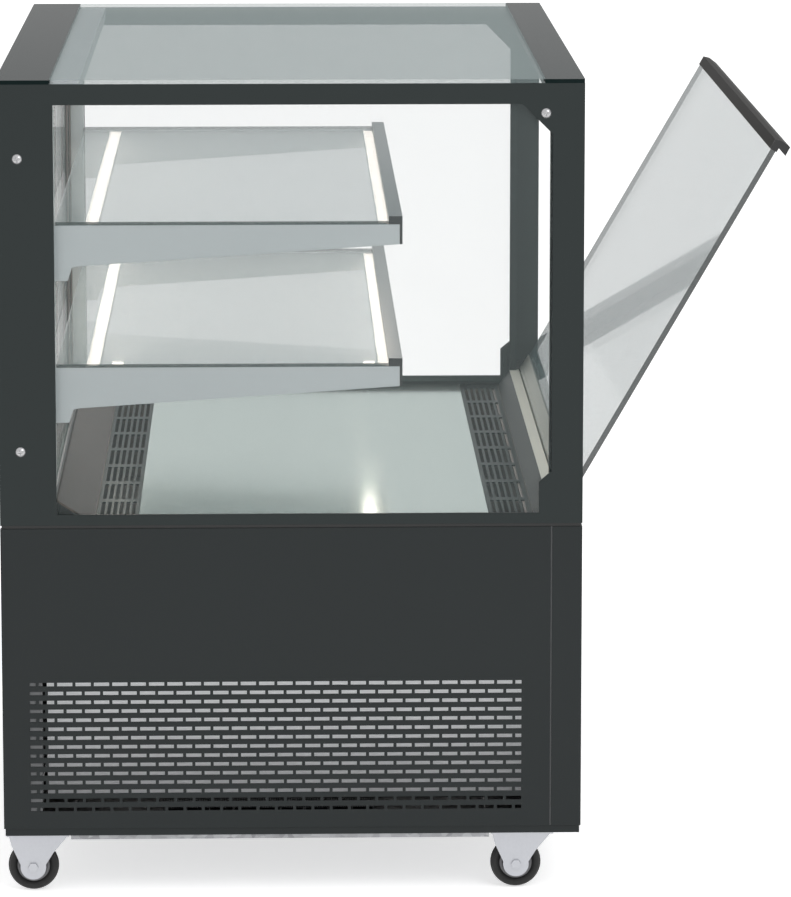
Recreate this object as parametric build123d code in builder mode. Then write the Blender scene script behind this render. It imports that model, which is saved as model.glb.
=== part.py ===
"""A floor-standing pastry display case: a glazed, cooled upper case on a machine base with castors.

X runs along the width, the customer's side faces -Y and +Z is up. The origin is on the floor,
under the middle of the whole outline with the front glass tilted open. All sizes in millimetres.
"""

import math
import os

from build123d import *

os.makedirs("parts", exist_ok=True)

# Overall sizes
width = 1200.0
depth = 850.0
height = 1210.0
running_gap = 0.6

# Castors
castor_height = 92.0
wheel_d = 75.0
wheel_w = 24.0
axle_r = 5.0
axle_fit = 0.05
castor_trail = 8.0
castor_plate_l = 92.0
castor_plate_w = 76.0
castor_plate_t = 3.0
castor_inset = 3.0
castor_front_inset = 40.0
kingpin_r = 6.0
fork_t = 2.5

# Machine base
base_top = 553.0
rail_h = 11.0
rail_w = 40.0
skin = 2.0
tray_t = 7.0
shadow_gap = 5.0
front_return = 44.0
panel_gap = 2.0
post_w = 40.0
rear_post_d = 51.0
tube_wall = 2.5

# Punched slots of the left side panel
slot_l = 22.4
slot_h = 5.6
slot_pitch = 26.9
slot_row_pitch = 13.45
slot_columns = 27
slot_row_pairs = 7
slot_first_r = 40.0
slot_top_z = 320.5
short_slot_l = 9.0

# Side frames and their glass
frame_t = 3.0
rear_stile = 83.0
front_stile = 46.0
top_rail = 30.0
bottom_rail = 16.0
corner_cut = 44.0
gusset_w = 18.0
gusset_h = 46.0
gusset_cut = 15.0
pane_t = 6.0
pane_lap = 8.0
top_glass_t = 6.0

# Rear portal, sill, door tracks and sliding doors
portal_post_w = 28.0
portal_post_d = 76.0
portal_lip_d = 38.0
beam_h = 26.0
rear_inset = 6.0
rear_sill_h = 36.0
rear_slope_d = 54.0
track_d = 32.0
bottom_track_h = 12.0
top_track_h = 18.0
track_groove = 8.0
groove_depth = 6.0
door_glass_t = 6.0
door_spacing = 18.0
door_overlap = 30.0
door_profile_w = 22.0
door_profile_t = 10.0

# Front rail, sill and tilting glass
lip_t = 3.0
lip_h = 57.0
sill_h = 28.0
sill_slope = 18.6
sill_back_r = depth - 68.0
pivot_r = depth - 24.0
pivot_above_sill = 2.0
groove_r = 9.3
open_angle = 30.0
tilt_glass_t = 8.0
channel_r = 7.0
channel_h = 24.0
hinge_pin_r = 4.0
side_gap = 9.0
under_top_gap = 2.0
handle_h = 18.0
handle_reach = 19.5
front_post_w = 12.0

# Cooling tub and deck
tub_depth = 173.0
tub_wall = 30.0
tub_side_gap = 25.0
tub_rear_r = 95.0
tub_front_r = depth - 50.0
deck_t = 2.0
rear_grille_r = 138.0
rear_grille_d = 62.0
front_grille_d = 64.0
deck_gap = 0.5
grille_groups = 8
grille_slots = 6
grille_slot_w = 5.6
grille_slot_pitch = 9.2
grille_end_margin = 30.0
grille_group_gap = 22.0

# Shelves and lamps
lower_shelf_z = 794.5
upper_shelf_z = 1003.0
shelf_glass_t = 5.0
shelf_front_r = 583.0
bracket_t = 4.0
bracket_root_h = 81.0
bracket_root_d = 20.0
bracket_h = 60.0
bracket_tip_h = 29.0
bracket_flange = 12.0
nose_t = 4.0
nose_h = 41.0
nose_lip = 16.0
nose_rise = 7.0
lamp_w = 19.0
lamp_h = 12.0
rear_lamp_gap = 45.0
front_lamp_setback = 31.0
canopy_d = 38.0
canopy_h = 20.0

# Values worked out from those above
half_w = width / 2
frame_bottom = base_top + shadow_gap
frame_top = height - top_glass_t
pivot_z = frame_bottom + sill_h + pivot_above_sill
tilt = math.radians(open_angle)
handle_top = frame_top - under_top_gap - pivot_z
reach = pivot_r + (handle_top - 2) * math.sin(tilt) + (handle_reach - 0.5) * math.cos(tilt)
rear_y = reach / 2
frame_in = half_w - frame_t
pane_in = frame_in - pane_t
post_in = pane_in - portal_post_w
rail_bottom = castor_height
rail_top = castor_height + rail_h
door_half = half_w - frame_t - side_gap
deck_half = pane_in - 1
SIDES = {"left": -1, "right": 1}


def y_at(r):
    """The Y of a place r in front of the rear face."""
    return rear_y - r


def save(piece, node):
    """Names a finished piece and writes it."""
    piece.part.label = node
    export_step(piece.part, f"parts/{node}.step")


def patch(a0, a1, b0, b1, mode=Mode.ADD):
    """A rectangle of the current sketch, from its limits."""
    with Locations(((a0 + a1) / 2, (b0 + b1) / 2)):
        Rectangle(abs(a1 - a0), abs(b1 - b0), mode=mode)


def side_patch(r0, r1, z0, z1, mode=Mode.ADD):
    """A rectangle of a side-view sketch, from its distances to the rear face and its heights."""
    patch(y_at(r0), y_at(r1), z0, z1, mode)


def outline(points, mode=Mode.ADD):
    """A closed side-view outline through (distance from the rear face, height) points."""
    Polygon(*[(y_at(r), z) for r, z in points], align=None, mode=mode)


def slab(x0, x1, r0, r1, z0, z1, mode=Mode.ADD):
    """A block of the current part, from its limits."""
    with Locations(((x0 + x1) / 2, y_at((r0 + r1) / 2), (z0 + z1) / 2)):
        Box(abs(x1 - x0), abs(r1 - r0), abs(z1 - z0), mode=mode)


# Base frame: a welded ring of box rails with four corner posts
post_top = base_top
rail_out = half_w - skin
rail_rear_r = 2.0
rail_front_r = depth - 2.0
post_rear_r = rear_inset
post_front_r = depth - rear_inset - post_w
with BuildPart() as base_frame:
    with BuildSketch(Plane.XY.offset(rail_bottom)):
        patch(-rail_out, rail_out, y_at(rail_rear_r), y_at(rail_front_r))
        inner_x = rail_out - rail_w
        patch(-inner_x, inner_x, y_at(rail_rear_r + rail_w), y_at(rail_front_r - rail_w), Mode.SUBTRACT)
    extrude(amount=rail_h)
    with BuildSketch(Plane.XY.offset(rail_top)):
        for sign in SIDES.values():
            for r, post_d in ((post_rear_r, rear_post_d), (post_front_r, post_w)):
                for wall, mode in ((0, Mode.ADD), (tube_wall, Mode.SUBTRACT)):
                    outer, inner = sign * (rail_out - wall), sign * (rail_out - post_w + wall)
                    patch(outer, inner, y_at(r + wall), y_at(r + post_d - wall), mode)
    extrude(amount=post_top - rail_top)
save(base_frame, "base_frame")

# Base tray: the galvanised floor pan of the machine space, hung under the rails between the castors
tray_clear = 3.0
tray_rear_r = castor_inset + castor_plate_l + tray_clear
tray_front_r = depth - castor_front_inset - castor_plate_l - tray_clear
tray_x = rail_out - 4
pan_wall = 2.0
with BuildPart() as base_tray:
    slab(-tray_x, tray_x, tray_rear_r, tray_front_r, rail_bottom - tray_t, rail_bottom)
    slab(
        -tray_x + rail_w, tray_x - rail_w, tray_rear_r + pan_wall, tray_front_r - pan_wall,
        rail_bottom - tray_t + pan_wall, rail_bottom, Mode.SUBTRACT,
    )
tray_floor = rail_bottom - tray_t + pan_wall
save(base_tray, "base_tray")


# Side panels: folded sheets, the left one punched with staggered air slots
panel_front_r = depth - front_return - panel_gap
fold = 12.0


def slot_field(plane):
    """The staggered rows of slots, as a sketch on a side plane."""
    span = (slot_columns - 1) * slot_pitch
    middle_y = y_at(slot_first_r + (span + slot_l) / 2)
    rows_a, rows_b = slot_row_pairs, slot_row_pairs + 1
    middle_z = slot_top_z - slot_row_pairs * slot_row_pitch
    end_offset = (span + slot_l - short_slot_l) / 2
    with BuildSketch(plane) as field:
        with Locations((middle_y, middle_z)):
            with GridLocations(slot_pitch, 2 * slot_row_pitch, slot_columns, rows_a):
                Rectangle(slot_l, slot_h)
            with GridLocations(slot_pitch, 2 * slot_row_pitch, slot_columns - 1, rows_b):
                Rectangle(slot_l, slot_h)
            with GridLocations(2 * end_offset, 2 * slot_row_pitch, 2, rows_b):
                Rectangle(short_slot_l, slot_h)
    return field.sketch


for side, sign in SIDES.items():
    with BuildPart() as side_panel:
        with BuildSketch(Plane.YZ.offset(sign * half_w)):
            side_patch(0, panel_front_r, rail_top, base_top)
        extrude(amount=-sign * skin)
        slab(sign * (half_w - fold), sign * half_w, 0, skin, rail_top, base_top)
        if side == "left":
            extrude(slot_field(Plane.YZ.offset(sign * half_w)), amount=-sign * skin, mode=Mode.SUBTRACT)
    save(side_panel, f"{side}_side_panel")

# Front panel: a sheet folded back round both front corners
with BuildPart() as front_panel:
    with BuildSketch(Plane.XY.offset(rail_top)):
        patch(-half_w, half_w, y_at(depth - front_return), y_at(depth))
        patch(-half_w + skin, half_w - skin, y_at(depth - front_return), y_at(depth - skin), Mode.SUBTRACT)
    extrude(amount=base_top - rail_top)
    front_edges = front_panel.edges().filter_by(Axis.Z).group_by(Axis.Y)[0]
    fillet(front_edges, radius=skin * 0.9)
save(front_panel, "front_panel")

# Rear panel: set in between the side panels, with louvre slots and the openings of its fittings
rear_panel_r = 4.0
rear_panel_x = half_w - fold - 1
louvre_l = 240.0
louvre_h = 6.0
louvre_rows = 10
louvre_pitch = 18.0
louvre_z = 260.0
control_x = half_w - 240.0
control_z = 440.0
control_w = 170.0
control_h = 60.0
switch_x = control_x + 55
switch_w = 15.0
switch_r = 10.0
inlet_x = -half_w + 150.0
inlet_z = 150.0
inlet_w = 28.0
inlet_h = 20.0
with BuildPart() as rear_panel:
    with BuildSketch(Plane.XZ.offset(-y_at(rear_panel_r))):
        patch(-rear_panel_x, rear_panel_x, rail_top, base_top)
        with Locations((0, louvre_z)):
            with GridLocations(louvre_l + 40, louvre_pitch, 2, louvre_rows):
                Rectangle(louvre_l, louvre_h, mode=Mode.SUBTRACT)
        patch(
            control_x - control_w / 2 + 12, control_x + control_w / 2 - 12,
            control_z - control_h / 2 + 12, control_z + control_h / 2 - 12, Mode.SUBTRACT,
        )
        patch(
            inlet_x - inlet_w / 2, inlet_x + inlet_w / 2,
            inlet_z - inlet_h / 2, inlet_z + inlet_h / 2, Mode.SUBTRACT,
        )
    extrude(amount=skin)
save(rear_panel, "rear_panel")

# Control panel: a bezel with the temperature controller's window and the lamp switch's opening
controller_w = 72.0
controller_h = 30.0
controller_x = control_x - 30
with BuildPart() as control_panel:
    slab(
        control_x - control_w / 2, control_x + control_w / 2, rear_panel_r - 2, rear_panel_r,
        control_z - control_h / 2, control_z + control_h / 2,
    )
    slab(
        controller_x - controller_w / 2, controller_x + controller_w / 2, rear_panel_r - 3.5, 40,
        control_z - controller_h / 2, control_z + controller_h / 2,
    )
    switch_hole = switch_r + running_gap
    slab(
        switch_x - switch_w / 2 - running_gap, switch_x + switch_w / 2 + running_gap, 0, rear_panel_r,
        control_z - switch_hole, control_z + switch_hole, Mode.SUBTRACT,
    )
    with BuildSketch(Plane.XZ.offset(-y_at(rear_panel_r - 3.5))):
        with Locations((controller_x - 12, control_z)):
            Rectangle(controller_w * 0.5, controller_h * 0.6)
        with Locations((controller_x + 25, control_z)):
            with GridLocations(11, 11, 2, 2):
                Rectangle(7, 6)
    extrude(amount=-1, mode=Mode.SUBTRACT)
save(control_panel, "control_panel")

# Lamp switch: a rocker that turns on a pin along X, with two shallow faces
rocker_r = rear_panel_r + 7.5
with BuildPart() as lamp_switch:
    with BuildSketch(Plane.YZ.offset(switch_x - switch_w / 2)):
        with Locations((y_at(rocker_r), control_z)):
            Circle(switch_r)
    extrude(amount=switch_w)
    with BuildSketch(Plane.YZ.offset(switch_x - switch_w / 2)):
        outline([
            (rocker_r - 2 * switch_r, control_z - 2 * switch_r),
            (rocker_r - 2 * switch_r, control_z + 2 * switch_r),
            (rocker_r - 3.0, control_z + 2 * switch_r), (rocker_r - 7.0, control_z),
            (rocker_r - 8.6, control_z - 2 * switch_r),
        ])
    extrude(amount=switch_w, mode=Mode.SUBTRACT)
save(lamp_switch, "lamp_switch")

# Mains inlet: a recessed appliance socket with three blades
with BuildPart() as mains_inlet:
    slab(
        inlet_x - inlet_w / 2 - 6, inlet_x + inlet_w / 2 + 6, rear_panel_r - 2.5, rear_panel_r,
        inlet_z - inlet_h / 2 - 3, inlet_z + inlet_h / 2 + 3,
    )
    slab(
        inlet_x - inlet_w / 2, inlet_x + inlet_w / 2, rear_panel_r, rear_panel_r + 22,
        inlet_z - inlet_h / 2, inlet_z + inlet_h / 2,
    )
    slab(
        inlet_x - inlet_w / 2 + 2, inlet_x + inlet_w / 2 - 2, rear_panel_r - 2.5, rear_panel_r + 18,
        inlet_z - inlet_h / 2 + 2, inlet_z + inlet_h / 2 - 2, Mode.SUBTRACT,
    )
    for blade_x, blade_z in ((-7, -2), (7, -2), (0, 3)):
        slab(
            inlet_x + blade_x - 1, inlet_x + blade_x + 1, rear_panel_r + 3, rear_panel_r + 19,
            inlet_z + blade_z - 2, inlet_z + blade_z + 2,
        )
save(mains_inlet, "mains_inlet")

# Cooling tub: an insulated box let into the base, with a flange that carries the upper case
tub_x = half_w - tub_side_gap
tub_bottom = base_top - tub_depth
rim_r = 12.0
with BuildPart() as cooling_tub:
    slab(-tub_x, tub_x, tub_rear_r, tub_front_r, tub_bottom, base_top)
    slab(-rail_out, rail_out, rail_rear_r, rail_front_r, base_top, frame_bottom)
    slab(
        -tub_x + tub_wall, tub_x - tub_wall, tub_rear_r + tub_wall + rim_r, tub_front_r - tub_wall,
        tub_bottom + tub_wall, frame_bottom, Mode.SUBTRACT,
    )
save(cooling_tub, "cooling_tub")

# Castor plates: one bolted under each corner, with the kingpin riveted into it
plate_r = {
    "rear": castor_inset + castor_plate_l / 2,
    "front": depth - castor_front_inset - castor_plate_l / 2,
}
plate_x = rail_out - castor_plate_w / 2 - 4
crown_top = castor_height - castor_plate_t - 1.0
crown_t = 3.0
pin_head_t = 2.0
with BuildPart() as castor_plates:
    for sign in SIDES.values():
        for r in plate_r.values():
            centre = (sign * plate_x, y_at(r))
            with BuildSketch(Plane.XY.offset(castor_height - castor_plate_t)):
                with Locations(centre):
                    Rectangle(castor_plate_w, castor_plate_l)
            extrude(amount=castor_plate_t)
            with BuildSketch(Plane.XY.offset(crown_top - crown_t - running_gap)):
                with Locations(centre):
                    Circle(kingpin_r - axle_fit)
            extrude(amount=castor_height - castor_plate_t - crown_top + crown_t + running_gap)
            with BuildSketch(Plane.XY.offset(crown_top - crown_t - running_gap - pin_head_t)):
                with Locations(centre):
                    Circle(kingpin_r + 3)
            extrude(amount=pin_head_t)
save(castor_plates, "castor_plates")

# Castor forks and wheels: a pressed fork with tapered cheeks round a rubber-tyred wheel
cheek_gap = 2.5
cheek_in = wheel_w / 2 + cheek_gap
crown_r = castor_plate_l / 2 + 1
boss_r = 19.0
for side, sign in SIDES.items():
    for end, r in plate_r.items():
        centre_x = sign * plate_x
        centre_y = y_at(r)
        axle_y = centre_y + castor_trail
        axle_z = wheel_d / 2
        with BuildPart() as castor_fork:
            with BuildSketch(Plane.XY.offset(crown_top - crown_t)):
                with Locations((centre_x, centre_y)):
                    Circle(crown_r)
                    Rectangle(2 * (cheek_in + fork_t), 2 * crown_r, mode=Mode.INTERSECT)
                    Circle(kingpin_r, mode=Mode.SUBTRACT)
            extrude(amount=crown_t)
            for cheek in (-1, 1):
                with BuildSketch(Plane.YZ.offset(centre_x + cheek * cheek_in)):
                    with BuildLine():
                        edge_y = math.sqrt(crown_r**2 - (cheek_in + fork_t) ** 2)
                        top_z = crown_top - crown_t
                        Polyline(
                            (centre_y - edge_y, top_z), (centre_y - edge_y + 22, top_z - 26),
                            (axle_y - boss_r, axle_z + 4), (axle_y + boss_r, axle_z + 4),
                            (axle_y + boss_r + 13, top_z - 15), (centre_y + edge_y, top_z), close=True,
                        )
                    make_face()
                    with Locations((axle_y, axle_z)):
                        Circle(boss_r)
                extrude(amount=cheek * fork_t)
                with BuildSketch(Plane.YZ.offset(centre_x + cheek * (cheek_in + fork_t))):
                    with Locations((axle_y, axle_z)):
                        RegularPolygon(7.5, 6)
                extrude(amount=cheek * 4)
            with BuildSketch(Plane.YZ.offset(centre_x - cheek_in)):
                with Locations((axle_y, axle_z)):
                    Circle(axle_r - axle_fit)
            extrude(amount=2 * cheek_in)
        save(castor_fork, f"{end}_{side}_castor_fork")
        with BuildPart() as castor_wheel:
            with BuildSketch(Plane.YZ.offset(centre_x - wheel_w / 2)):
                with Locations((axle_y, axle_z)):
                    Circle(wheel_d / 2)
                    Circle(axle_r, mode=Mode.SUBTRACT)
            extrude(amount=wheel_w)
        save(castor_wheel, f"{end}_{side}_castor_wheel")

# Intake filter: a flat framed screen behind the punched panel, hung under the tub
filter_x = -half_w + 70
filter_t = 6.0
filter_rear_r = 62.0
filter_foot_z = rail_top + 26
with BuildPart() as intake_filter:
    slab(filter_x, filter_x + filter_t, filter_rear_r, panel_front_r - 4, filter_foot_z, tub_bottom)
save(intake_filter, "intake_filter")

# Condenser: a finned block with end plates, its fan shroud, and the fan that draws air through it
coil_r0 = 230.0
coil_r1 = 550.0
coil_top = tub_bottom - 14
coil_x = -half_w + 140.0
coil_d = 60.0
fin_count = 9
fan_mid_r = (coil_r0 + coil_r1) / 2
fan_mid_z = (tray_floor + coil_top) / 2
fan_r = 118.0
with BuildPart() as condenser_coil:
    slab(coil_x, coil_x + coil_d, coil_r0, coil_r0 + 4, tray_floor, coil_top)
    slab(coil_x, coil_x + coil_d, coil_r1 - 4, coil_r1, tray_floor, coil_top)
    slab(coil_x + 12, coil_x + coil_d - 12, coil_r0 + 4, coil_r1 - 4, tray_floor + 6, coil_top - 6)
    fin_pitch = (coil_r1 - coil_r0) / fin_count
    for k in range(1, fin_count):
        fin_r = coil_r0 + k * fin_pitch
        slab(coil_x + 2, coil_x + coil_d - 2, fin_r - 1.5, fin_r + 1.5, tray_floor + 2, coil_top - 2)
save(condenser_coil, "condenser_coil")

shroud_x = coil_x + coil_d
shroud_d = 34.0
motor_r = 38.0
fan_x = shroud_x + 6
fan_d = 22.0
with BuildPart() as condenser_fan_shroud:
    slab(shroud_x, shroud_x + shroud_d, coil_r0, coil_r1, tray_floor, coil_top)
    inside_r = (coil_r0 + skin, coil_r1 - skin)
    slab(shroud_x, shroud_x + shroud_d - skin, *inside_r, tray_floor + skin, coil_top - skin, Mode.SUBTRACT)
    with BuildSketch(Plane.YZ.offset(shroud_x + shroud_d - skin)):
        with Locations((y_at(fan_mid_r), fan_mid_z)):
            Circle(fan_r + 6)
    extrude(amount=skin, mode=Mode.SUBTRACT)
    with BuildSketch(Plane.YZ.offset(shroud_x + shroud_d)):
        with Locations((y_at(fan_mid_r), fan_mid_z)):
            Circle(motor_r)
            Rectangle(2 * fan_r + 40, 16)
            Rectangle(16, 2 * fan_r + 30)
    extrude(amount=3)
    with BuildSketch(Plane.YZ.offset(shroud_x + shroud_d)):
        with Locations((y_at(fan_mid_r), fan_mid_z)):
            Circle(motor_r)
    extrude(amount=50)
    with BuildSketch(Plane.YZ.offset(fan_x + fan_d)):
        with Locations((y_at(fan_mid_r), fan_mid_z)):
            Circle(6 - axle_fit)
    extrude(amount=shroud_x + shroud_d - fan_x - fan_d)
save(condenser_fan_shroud, "condenser_fan_shroud")


def fan_rotor(plane, hub_r, tip_r, thick, blades):
    """A hub with pitched blades on a plane whose normal is the fan's axis."""
    with BuildPart() as rotor:
        with BuildSketch(plane):
            Circle(hub_r)
        extrude(amount=thick)
        for k in range(blades):
            spoke = plane.x_dir.rotate(Axis((0, 0, 0), plane.z_dir), 360 * k / blades)
            radial = Plane(plane.origin, x_dir=spoke, z_dir=plane.z_dir)
            across = Plane(
                radial.origin + radial.x_dir * (hub_r - 3) + radial.z_dir * (thick / 2),
                x_dir=radial.y_dir, z_dir=radial.x_dir,
            )
            with BuildSketch(across):
                Rectangle(hub_r * 1.5, 2.2, rotation=28)
            extrude(amount=tip_r - hub_r + 3)
    return rotor


fan_plane = Plane(origin=(fan_x, y_at(fan_mid_r), fan_mid_z), x_dir=(0, 1, 0), z_dir=(1, 0, 0))
save(fan_rotor(fan_plane, 36, fan_r, fan_d, 5), "condenser_fan")

# Compressor: a domed steel shell on a footplate
comp_x = 40.0
comp_r = 400.0
shell_r = 84.0
shell_h = 185.0
shell_crown = 34.0
foot_t = 8.0
with BuildPart() as compressor:
    slab(comp_x - 105, comp_x + 105, comp_r - 70, comp_r + 70, tray_floor, tray_floor + foot_t)
    with BuildSketch(Plane.XY.offset(tray_floor + foot_t)):
        with Locations((comp_x, y_at(comp_r))):
            Circle(shell_r)
    extrude(amount=shell_h)
    crown = compressor.faces().sort_by(Axis.Z)[-1].edges()
    chamfer(crown, length=shell_crown)
save(compressor, "compressor")

# Condensate tray: an open pan that takes the melt water
pan_x0, pan_x1 = half_w - 340, half_w - 100
pan_r0, pan_r1 = 280.0, 560.0
pan_h = 40.0
pan_t = 3.0
with BuildPart() as condensate_tray:
    slab(pan_x0, pan_x1, pan_r0, pan_r1, tray_floor, tray_floor + pan_h)
    slab(
        pan_x0 + pan_t, pan_x1 - pan_t, pan_r0 + pan_t, pan_r1 - pan_t,
        tray_floor + pan_t, tray_floor + pan_h, Mode.SUBTRACT,
    )
save(condensate_tray, "condensate_tray")

# Evaporator: a finned coil on the tub's floor with a fan plate in front of it
tub_floor = tub_bottom + tub_wall
evap_x = tub_x - 125.0
evap_r0 = 420.0
evap_r1 = 640.0
evap_h = 90.0
evap_fins = 10
with BuildPart() as evaporator_coil:
    for k in range(evap_fins + 1):
        fin_x = -evap_x + k * 2 * evap_x / evap_fins
        slab(fin_x - 1, fin_x + 1, evap_r0, evap_r1, tub_floor, tub_floor + evap_h)
    for tube_r in (evap_r0 + 40, evap_r1 - 40):
        slab(-evap_x, evap_x, tube_r - 7, tube_r + 7, tub_floor + evap_h / 2 - 7, tub_floor + evap_h / 2 + 7)
save(evaporator_coil, "evaporator_coil")

evap_fan_x = 220.0
evap_fan_r = 56.0
evap_fan_z = (tub_floor + frame_bottom) / 2
evap_plate_r = 360.0
evap_motor_r = 20.0
with BuildPart() as evaporator_fan_plate:
    with BuildSketch(Plane.XZ.offset(-y_at(evap_plate_r))):
        patch(-tub_x + tub_wall, tub_x - tub_wall, tub_floor, frame_bottom)
        with Locations((-evap_fan_x, evap_fan_z), (evap_fan_x, evap_fan_z)):
            Circle(evap_fan_r + 4, mode=Mode.SUBTRACT)
    extrude(amount=3)
    with BuildSketch(Plane.XZ.offset(-y_at(evap_plate_r))):
        with Locations((-evap_fan_x, evap_fan_z), (evap_fan_x, evap_fan_z)):
            Circle(evap_motor_r)
            Rectangle(2 * evap_fan_r + 24, 8)
    extrude(amount=-3)
    with BuildSketch(Plane.XZ.offset(-y_at(evap_plate_r - 3))):
        with Locations((-evap_fan_x, evap_fan_z), (evap_fan_x, evap_fan_z)):
            Circle(evap_motor_r)
    extrude(amount=-28)
save(evaporator_fan_plate, "evaporator_fan_plate")
for side, sign in SIDES.items():
    evap_plane = Plane(
        origin=(sign * evap_fan_x, y_at(evap_plate_r + 1), evap_fan_z), x_dir=(1, 0, 0), z_dir=(0, -1, 0)
    )
    save(fan_rotor(evap_plane, 18, evap_fan_r, 16, 4), f"{side}_evaporator_fan")

# Deck: a plain middle tray between two punched air grilles
front_grille_r = sill_back_r - 2 - front_grille_d
deck_rear_r = rear_grille_r + rear_grille_d + deck_gap
deck_front_r = front_grille_r - deck_gap
deck_top = frame_bottom + deck_t
grille_group_pitch = 2 * (deck_half - grille_end_margin) / grille_groups
grille_slot_l = grille_group_pitch - grille_group_gap
with BuildPart() as deck_tray:
    slab(-deck_half, deck_half, deck_rear_r, deck_front_r, frame_bottom, deck_top)
save(deck_tray, "deck_tray")
for node, grille_r, grille_d in (
    ("rear_air_grille", rear_grille_r, rear_grille_d),
    ("front_air_grille", front_grille_r, front_grille_d),
):
    with BuildPart() as air_grille:
        with BuildSketch(Plane.XY.offset(frame_bottom)):
            patch(-deck_half, deck_half, y_at(grille_r), y_at(grille_r + grille_d))
            with Locations((0, y_at(grille_r + grille_d / 2))):
                with GridLocations(grille_group_pitch, grille_slot_pitch, grille_groups, grille_slots):
                    Rectangle(grille_slot_l, grille_slot_w, mode=Mode.SUBTRACT)
        extrude(amount=deck_t)
    save(air_grille, node)

# Side frames: flat painted frames with a cut upper front corner and a gusset over the sill
opening_front = depth - front_stile
opening_top = frame_top - top_rail
opening_bottom = frame_bottom + bottom_rail
gusset_top = opening_bottom + gusset_h
for side, sign in SIDES.items():
    with BuildPart() as side_frame:
        with BuildSketch(Plane.YZ.offset(sign * half_w)):
            side_patch(0, depth, frame_bottom, frame_top)
            outline([
                (rear_stile, opening_bottom), (opening_front - gusset_w, opening_bottom),
                (opening_front - gusset_w, gusset_top), (opening_front, gusset_top + gusset_cut),
                (opening_front, opening_top - corner_cut), (opening_front - corner_cut, opening_top),
                (rear_stile, opening_top),
            ], Mode.SUBTRACT)
        extrude(amount=-sign * frame_t)
    save(side_frame, f"{side}_side_frame")

# Side glasses: one pane bonded behind each frame
pane_rear_r = portal_lip_d + rear_inset + 1
pane_front_r = opening_front + pane_lap
with BuildPart() as side_glasses:
    for sign in SIDES.values():
        with BuildSketch(Plane.YZ.offset(sign * frame_in)):
            side_patch(pane_rear_r, pane_front_r, opening_bottom - pane_lap, opening_top + pane_lap)
        extrude(amount=-sign * pane_t)
save(side_glasses, "side_glasses")

# Rear portal: two posts joined by the top beam, which carry the shelves, the tracks and the top glass
portal_front_r = rear_inset + portal_post_d
beam_z = frame_top - beam_h
with BuildPart() as rear_portal:
    for sign in SIDES.values():
        with BuildSketch(Plane.XY.offset(frame_bottom)):
            patch(sign * post_in, sign * pane_in, y_at(rear_inset), y_at(portal_front_r))
            patch(sign * pane_in, sign * frame_in, y_at(rear_inset), y_at(rear_inset + portal_lip_d))
            patch(
                sign * (post_in + tube_wall), sign * (pane_in - tube_wall),
                y_at(rear_inset + tube_wall), y_at(portal_front_r - tube_wall), Mode.SUBTRACT,
            )
        extrude(amount=frame_top - frame_bottom)
    slab(-post_in, post_in, rear_inset, portal_front_r, beam_z, frame_top)
save(rear_portal, "rear_portal")

# Rear sill: a stainless box under the doors that slopes down to the deck
sill_top_z = frame_bottom + rear_sill_h
slope_foot_r = rear_grille_r - 2
with BuildPart() as rear_sill:
    slab(-post_in, post_in, rear_inset, portal_front_r, frame_bottom, sill_top_z)
    slab(
        -post_in, post_in, rear_inset + deck_t, portal_front_r - deck_t,
        frame_bottom, sill_top_z - deck_t, Mode.SUBTRACT,
    )
    with BuildSketch(Plane.YZ.offset(-deck_half)):
        outline([
            (slope_foot_r - 2 * deck_t, frame_bottom), (slope_foot_r, frame_bottom),
            (slope_foot_r, frame_bottom + deck_t), (portal_front_r + deck_t, sill_top_z),
            (portal_front_r, sill_top_z), (portal_front_r, sill_top_z - deck_t),
        ])
    extrude(amount=2 * deck_half)
save(rear_sill, "rear_sill")

# Door tracks: a grooved rail under and over the sliding doors
track_front_r = portal_front_r - 1
track_rear_r = track_front_r - track_d
inner_door_r = track_front_r - 2 - track_groove / 2 - 1
outer_door_r = inner_door_r - door_spacing
door_x = post_in - running_gap
bottom_track_z = sill_top_z + bottom_track_h
top_track_z = beam_z - top_track_h
door_bottom = bottom_track_z - groove_depth + running_gap
door_top = top_track_z + top_track_h - 6
with BuildPart() as door_tracks:
    with BuildSketch(Plane.YZ.offset(-post_in)):
        side_patch(track_rear_r, track_front_r, sill_top_z, bottom_track_z)
        side_patch(track_rear_r, track_front_r, top_track_z, beam_z)
        for door_r in (inner_door_r, outer_door_r):
            groove = (door_r - track_groove / 2, door_r + track_groove / 2)
            side_patch(*groove, bottom_track_z - groove_depth, bottom_track_z, Mode.SUBTRACT)
            side_patch(*groove, top_track_z, beam_z - 4, Mode.SUBTRACT)
    extrude(amount=2 * post_in)
save(door_tracks, "door_tracks")

# Sliding doors: a pane with an upright pull profile on each end
for side, sign in SIDES.items():
    door_r = inner_door_r if side == "left" else outer_door_r
    near, far = sign * door_x, -sign * door_overlap / 2
    pane_rear, pane_front = door_r - door_glass_t / 2, door_r + door_glass_t / 2
    with BuildPart() as door_pane:
        slab(near, far, pane_rear, pane_front, door_bottom, door_top)
    save(door_pane, f"{side}_door_glass")
    with BuildPart() as door_profiles:
        with BuildSketch(Plane.XY.offset(bottom_track_z + 3)):
            for edge, inward in ((near, -sign), (far, sign)):
                tip = edge + inward * door_profile_w
                patch(edge, tip, y_at(door_r - door_profile_t / 2), y_at(door_r + door_profile_t / 2))
                patch(edge, tip, y_at(pane_rear), y_at(pane_front), Mode.SUBTRACT)
        extrude(amount=top_track_z - bottom_track_z - 6)
    save(door_profiles, f"{side}_door_profiles")

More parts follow.
